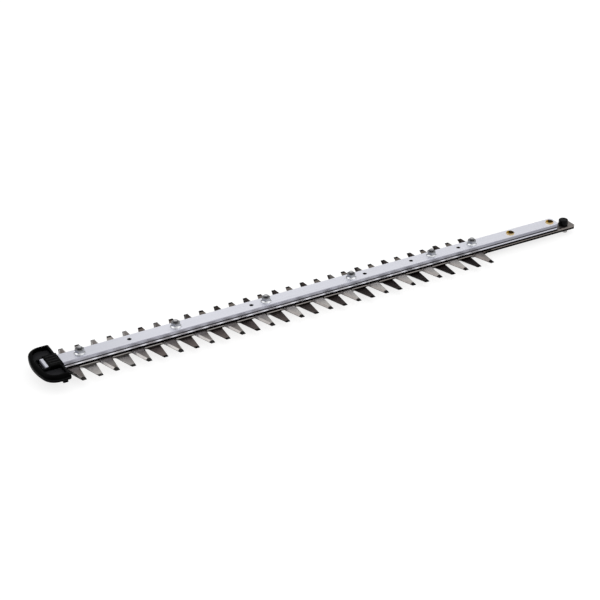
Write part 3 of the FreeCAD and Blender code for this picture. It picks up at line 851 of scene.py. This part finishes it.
@dataclass
class Fasteners(SubAssembly):
    """Six shoulder screws from below and their flange nuts on the bar."""

    places: tuple[float, ...] = (-637.5, -517.5, -397.5, -277.5, -157.5, -94.5)
    nut_zinc: PlatedZinc = PlatedZinc("nut_zinc", painted_dark=(0.06, 0.06, 0.065, 1.0))
    screw_zinc: PlatedZinc = PlatedZinc(
        "screw_zinc", bright=(0.62, 0.62, 0.63, 1.0), clouded=(0.36, 0.36, 0.37, 1.0),
        dark_top_run=(4.4, 4.8, 0.75), roughness=0.24)
    nut_flats: float = 10.0
    nut_top: float = 6.0
    nut_bore: float = 3.05
    nut_chamfer: float = 0.5
    rim_radius: float = 6.7
    rim_top: float = 1.1
    cone_slope: float = 0.75
    crown_radius: float = 4.7
    crown_slope: float = 0.55
    stud_radius: float = 3.0
    stud_top: float = 8.6
    stud_end: float = 1.2
    stud_chamfer: float = 0.75
    thread_from: float = 5.0
    thread_rows: int = 46
    thread_pitch: float = 1.0
    thread_depth: float = 0.55
    thread_width: float = 1.25
    thread_slope: float = 2.0
    socket_flats: float = 4.0
    socket_mouth: float = 2.62
    head_radius: float = 5.2
    head_bottom: float = -18.4
    flange_radius: float = 7.0
    flange_bottom: float = -16.0
    flange_top: float = -14.8
    shoulder_radius: float = 4.0
    shoulder_top: float = -9.5

    def build(self, effects: Effects) -> None:
        """Make every nut and screw."""
        nut_finish = self.nut_zinc.paint(effects)
        screw_finish = self.screw_zinc.paint(effects)
        for number, x in enumerate(self.places, 1):
            nut = ring_piece(f"flange_nut_{number}", self.nut_rings(x), True, Shading.CRISP)
            self.settle(nut, Body.GUIDE, f"blade_nut_{number}", Slot.NUT, nut_finish)
            screw = ring_piece(f"shoulder_screw_{number}", self.screw_rings(x), False, Shading.CRISP)
            self.settle(screw, Body.GUIDE, f"blade_screw_{number}", Slot.SCREW, screw_finish)

    def nut_rings(self, x: float) -> np.ndarray:
        """A flange nut, as rings from its lower bore outwards, up and back in.

        The wall is the hexagon's radius. It starts on the flange's cone, at the rim's level plus the slope
        times how far the wall lies inside the rim, and ends at the crown's cone, at the top less the slope
        times how far the wall lies outside the crown. So the six arcs on the crown come out by themselves.

        Args:
            x: Where its axis stands.

        Returns:
            Points shaped rows, columns, 3.
        """
        turn = hexagon_turns()
        wall = hexagon_radius(turn, self.nut_flats)
        rim, ledge, top = self.rim_radius, self.rim_top, self.nut_top
        bore, mouth = self.nut_bore, self.nut_bore + self.nut_chamfer
        foot = ledge + self.cone_slope * (rim - wall)
        crown = top - self.crown_slope * (wall - self.crown_radius)
        radius, level = spread([
            (mouth, 0.0), (rim - 0.35, 0.0), (rim - 0.1, 0.1), (rim, 0.35),
            (rim, ledge - 0.3), (rim - 0.08, ledge - 0.08), (rim - 0.3, ledge + 0.17),
            (wall + 0.25, foot - 0.19), (wall + 0.08, foot), (wall, foot + 0.25),
            (wall, crown - 0.06), (wall - 0.05, crown + 0.03),
            (self.crown_radius + 0.06, top - 0.03), (self.crown_radius - 0.1, top),
            (mouth, top), (bore, top - 0.45), (bore, 0.45),
        ], turn)
        return polar(x, radius, level, turn)

    def thread_radius(self, level: np.ndarray, turn: np.ndarray) -> np.ndarray:
        """Radius of the stud: its outer radius less a groove that climbs one pitch each turn, and no more
        than a cone at its end."""
        climb = np.mod(level / self.thread_pitch - turn / FULL_TURN, 1.0)
        groove = np.clip(self.thread_width - self.thread_slope * np.abs(2 * climb - 1), 0.0, 1.0)
        cone = self.stud_radius - self.stud_chamfer + (self.stud_top - level)
        return np.minimum(self.stud_radius - self.thread_depth * groove, cone)

    def screw_rings(self, x: float) -> np.ndarray:
        """A shoulder screw, as rings from its socket's floor outwards and up to the stud's end.

        The socket's rings follow a hexagon, the head, flange and shoulder are round, and the stud's
        rings follow the thread.

        Args:
            x: Where its axis stands.

        Returns:
            Points shaped rows, columns, 3.
        """
        turn = hexagon_turns()
        socket = hexagon_radius(turn, self.socket_flats)
        low, head, stud = self.head_bottom, self.head_radius, self.stud_radius
        rim, under, over = self.flange_radius, self.flange_bottom, self.flange_top
        radius, level = spread([
            (socket * 0.45, low + 1.6), (socket, low + 1.45), (socket, low + 0.3), (self.socket_mouth, low),
            (head - 0.75, low), (head - 0.35, low + 0.12), (head - 0.1, low + 0.4), (head, low + 0.8),
            (head, under - 0.25), (head + 0.15, under - 0.05), (rim - 0.3, under), (rim - 0.07, under + 0.1),
            (rim, under + 0.4), (rim, over - 0.3), (rim - 0.1, over - 0.05), (rim - 0.3, over),
            (self.shoulder_radius, over), (self.shoulder_radius, self.shoulder_top),
            (stud, self.shoulder_top), (stud, self.thread_from - 0.2),
        ], turn)
        climb = np.linspace(self.thread_from, self.stud_top, self.thread_rows)[:, None]
        climb, across = np.broadcast_arrays(climb, turn[None, :])
        end = np.full((1, turn.size), self.stud_end)
        radius = np.vstack([radius, self.thread_radius(climb, across), end])
        level = np.vstack([level, climb, np.full_like(end, self.stud_top)])
        return polar(x, radius, level, turn)


@dataclass
class DriveEnd(SubAssembly):
    """The mount collars, the drive pins and the roller cap."""

    collar_places: tuple[float, float] = (-32.5, 32.5)
    roller_x: float = 56.5
    lower_x: float = 60.5
    bright: TurnedSteel = TurnedSteel(
        "pin_steel", (0.34, 0.33, 0.33, 1.0), (0.70, 0.70, 0.70, 1.0), roughness=0.24, metallic=1.0)
    black: TurnedSteel = TurnedSteel(
        "roller_black", (0.004, 0.004, 0.0045, 1.0), (0.03, 0.03, 0.032, 1.0), roughness=0.20,
        metallic=0.0, gloss=0.06)
    collar: Profile = ((3.3, -14.8, 0.25), (5.5, -14.8, 0.3), (5.5, 0.8, 0.15), (5.1, 1.4, 0.15),
                       (4.7, 1.4, 0.1), (4.2, -1.5, 0.4), (3.3, -3.0, 0.4))
    upper_pin: Profile = ((0.4, -12.1, 0), (3.0, -12.1, 0.05), (3.0, -9.6, 0.02), (3.5, -9.6, 0.05),
                          (3.5, -4.3, 0.2), (3.0, -3.8, 0.2), (0.4, -3.8, 0))
    lower_pin: Profile = ((0.4, -21.2, 0), (3.0, -21.2, 0.2), (3.5, -20.7, 0.2), (3.5, -14.7, 0.05),
                          (3.0, -14.7, 0.02), (3.0, -12.2, 0.05), (0.4, -12.2, 0))
    cap: Profile = ((0.4, -3.5, 0), (3.55, -3.5, 0.1), (3.55, -9.3, 0.25), (6.3, -9.3, 0.35),
                    (6.3, -2.3, 0.35), (5.5, -1.5, 0.35), (4.3, -1.5, 0.2), (4.0, -1.75, 0.15),
                    (0.4, -1.75, 0))

    def build(self, effects: Effects) -> None:
        """Make the turned pieces of the drive end."""
        gold = YellowZinc(self.collar_places[1]).paint(effects)
        bright = self.bright.paint(effects)
        black = self.black.paint(effects)
        for number, x in enumerate(self.collar_places, 1):
            collar = turned_piece(f"spacer_collar_{number}", x, self.collar, loop=True)
            self.settle(collar, Body.GUIDE, f"mount_collar_{number}", Slot.COLLAR, gold)
        upper = turned_piece("roller_pin", self.roller_x, self.upper_pin)
        self.settle(upper, Body.UPPER, "upper_drive_pin", Slot.PIN, bright)
        lower = turned_piece("stub_pin", self.lower_x, self.lower_pin)
        self.settle(lower, Body.LOWER, "lower_drive_pin", Slot.PIN, bright)
        roller = turned_piece("roller_cap", self.roller_x, self.cap)
        self.settle(roller, Body.ROLLER, "drive_roller", Slot.ROLLER, black)


@dataclass
class TipGuard(SubAssembly):
    """The moulded guard over the bar's tip."""

    plastic: GuardPlastic = GuardPlastic()

    def build(self, effects: Effects) -> None:
        """Dress the guard."""
        self.finish_node("tip_guard", self.plastic.paint(effects))


@dataclass(frozen=True)
class Lamp:
    """A square soft lamp: where it hangs, its side in metres and its power in watts."""

    name: str
    place: Place
    side: float
    power: float


@dataclass(frozen=True)
class Glow:
    """A bright patch of the sky: its direction, the cosines where it sets in and is full, its strength."""

    towards: Place
    start: float
    full: float
    strength: float


@dataclass
class Studio:
    """A white floor and background, soft lamps and the camera, in metres."""

    floor_level: float = -0.02125
    floor_half: float = 40.0
    floor_grey: float = 0.34
    floor_light: float = 0.77
    sky_rise: Limits = (0.30, 0.57)
    sky_light: Limits = (0.25, 0.78)
    glows: tuple[Glow, ...] = (Glow((-0.657, 0.374, 0.653), 0.84, 0.97, 0.65),
                               Glow((0.80, -0.55, 0.20), 0.45, 0.95, 0.45))
    lamps: tuple[Lamp, ...] = (Lamp("key", (-0.3, -1.4, 1.0), 1.5, 1.6),
                               Lamp("top", (0.35, 0.6, 1.6), 3.0, 4.8))
    lamp_target: Place = (-0.3, 0.0, 0.0)
    camera_place: Place = (-1.09217, -1.31008, 0.84965)
    azimuth: float = 29.5175
    elevation: float = 29.7772
    lens: float = 84.98
    sensor: float = 36.0
    clip: Limits = (0.01, 100.0)

    def build(self) -> None:
        """Set the stage."""
        self.floor()
        self.world()
        for lamp in self.lamps:
            self.hang(lamp)
        self.camera()
        bpy.context.scene.view_settings.view_transform = "Standard"

    def floor(self) -> None:
        """A square floor: a grid of two rows and two columns at one level."""
        side = np.array([-self.floor_half, self.floor_half])
        y, x = np.meshgrid(side, side, indexing="ij")
        points = np.stack([x, y, np.full_like(x, self.floor_level)], -1).reshape(-1, 3)
        mesh = bpy.data.meshes.new("studio_floor")
        mesh.from_pydata(points.tolist(), [], [(0, 1, 3, 2)])
        mesh.materials.append(self.floor_material())
        floor = bpy.data.objects.new("studio_floor", mesh)
        bpy.context.scene.collection.objects.link(floor)

    def floor_material(self) -> Material:
        """Grey that takes the shadow, lit up to white where it is seen, and clear from below."""
        material = bpy.data.materials.new("studio_floor")
        material.use_nodes = True
        material.node_tree.nodes.clear()
        bench = Bench(material.node_tree)
        rays = bench.add("ShaderNodeLightPath").outputs
        seen = bench.most(rays["Is Camera Ray"], rays["Is Glossy Ray"], rays["Is Transmission Ray"])
        grey = (self.floor_grey, self.floor_grey, self.floor_grey, 1.0)
        matt = bench.add("ShaderNodeBsdfDiffuse", {"Color": grey}).outputs[0]
        strength = bench.times(seen, self.floor_light)
        light = bench.add("ShaderNodeEmission", {"Color": WHITE, "Strength": strength}).outputs[0]
        lit = bench.add("ShaderNodeAddShader", {0: matt, 1: light}).outputs[0]
        clear = bench.add("ShaderNodeBsdfTransparent").outputs[0]
        below = bench.add("ShaderNodeNewGeometry").outputs["Backfacing"]
        both = bench.add("ShaderNodeMixShader", {0: below, 1: lit, 2: clear}).outputs[0]
        bench.add("ShaderNodeOutputMaterial", {"Surface": both})
        return material

    def world(self) -> None:
        """A soft studio sky: bright overhead and in two patches, darker round the horizon."""
        world = bpy.data.worlds.new("studio")
        bpy.context.scene.world = world
        world.use_nodes = True
        world.node_tree.nodes.clear()
        bench = Bench(world.node_tree)
        way = bench.add("ShaderNodeTexCoord").outputs["Generated"]
        rise = bench.add("ShaderNodeSeparateXYZ", {0: way}).outputs["Z"]
        light = bench.span(rise, *self.sky_rise, *self.sky_light)
        for glow in self.glows:
            aim = bench.add("ShaderNodeVectorMath", {0: way, 1: glow.towards}, operation="DOT_PRODUCT")
            patch = bench.span(aim.outputs["Value"], glow.start, glow.full, 0.0, glow.strength)
            light = bench.math("ADD", light, patch)
        back = bench.add("ShaderNodeBackground", {"Color": WHITE, "Strength": light}).outputs[0]
        bench.add("ShaderNodeOutputWorld", {"Surface": back})

    def hang(self, lamp: Lamp) -> None:
        """Hang a lamp that looks at the middle of the unit."""
        data = bpy.data.lights.new(lamp.name, "AREA")
        data.size = lamp.side
        data.energy = lamp.power
        hung = bpy.data.objects.new(lamp.name, data)
        hung.location = lamp.place
        towards = Vector(self.lamp_target) - Vector(lamp.place)
        hung.rotation_euler = towards.to_track_quat("-Z", "Y").to_euler()
        bpy.context.scene.collection.objects.link(hung)

    def camera(self) -> None:
        """The photograph's camera, from its place, its azimuth and its elevation."""
        data = bpy.data.cameras.new("camera")
        data.lens = self.lens
        data.sensor_width = self.sensor
        data.sensor_fit = "HORIZONTAL"
        data.clip_start, data.clip_end = self.clip
        camera = bpy.data.objects.new("camera", data)
        turn, fall = math.radians(self.azimuth), math.radians(self.elevation)
        ahead = Vector((math.sin(turn) * math.cos(fall), math.cos(turn) * math.cos(fall), -math.sin(fall)))
        camera.location = self.camera_place
        camera.rotation_euler = ahead.to_track_quat("-Z", "Y").to_euler()
        bpy.context.scene.collection.objects.link(camera)
        bpy.context.scene.camera = camera


def main() -> None:
    """Build the unit and its studio."""
    logging.basicConfig(level=logging.INFO, format="%(name)s: %(message)s")
    effects = Effects()
    for assembly in (Cutter(), Fasteners(), DriveEnd(), TipGuard()):
        assembly.build(effects)
    Studio().build()


if __name__ == "__main__":
    main()
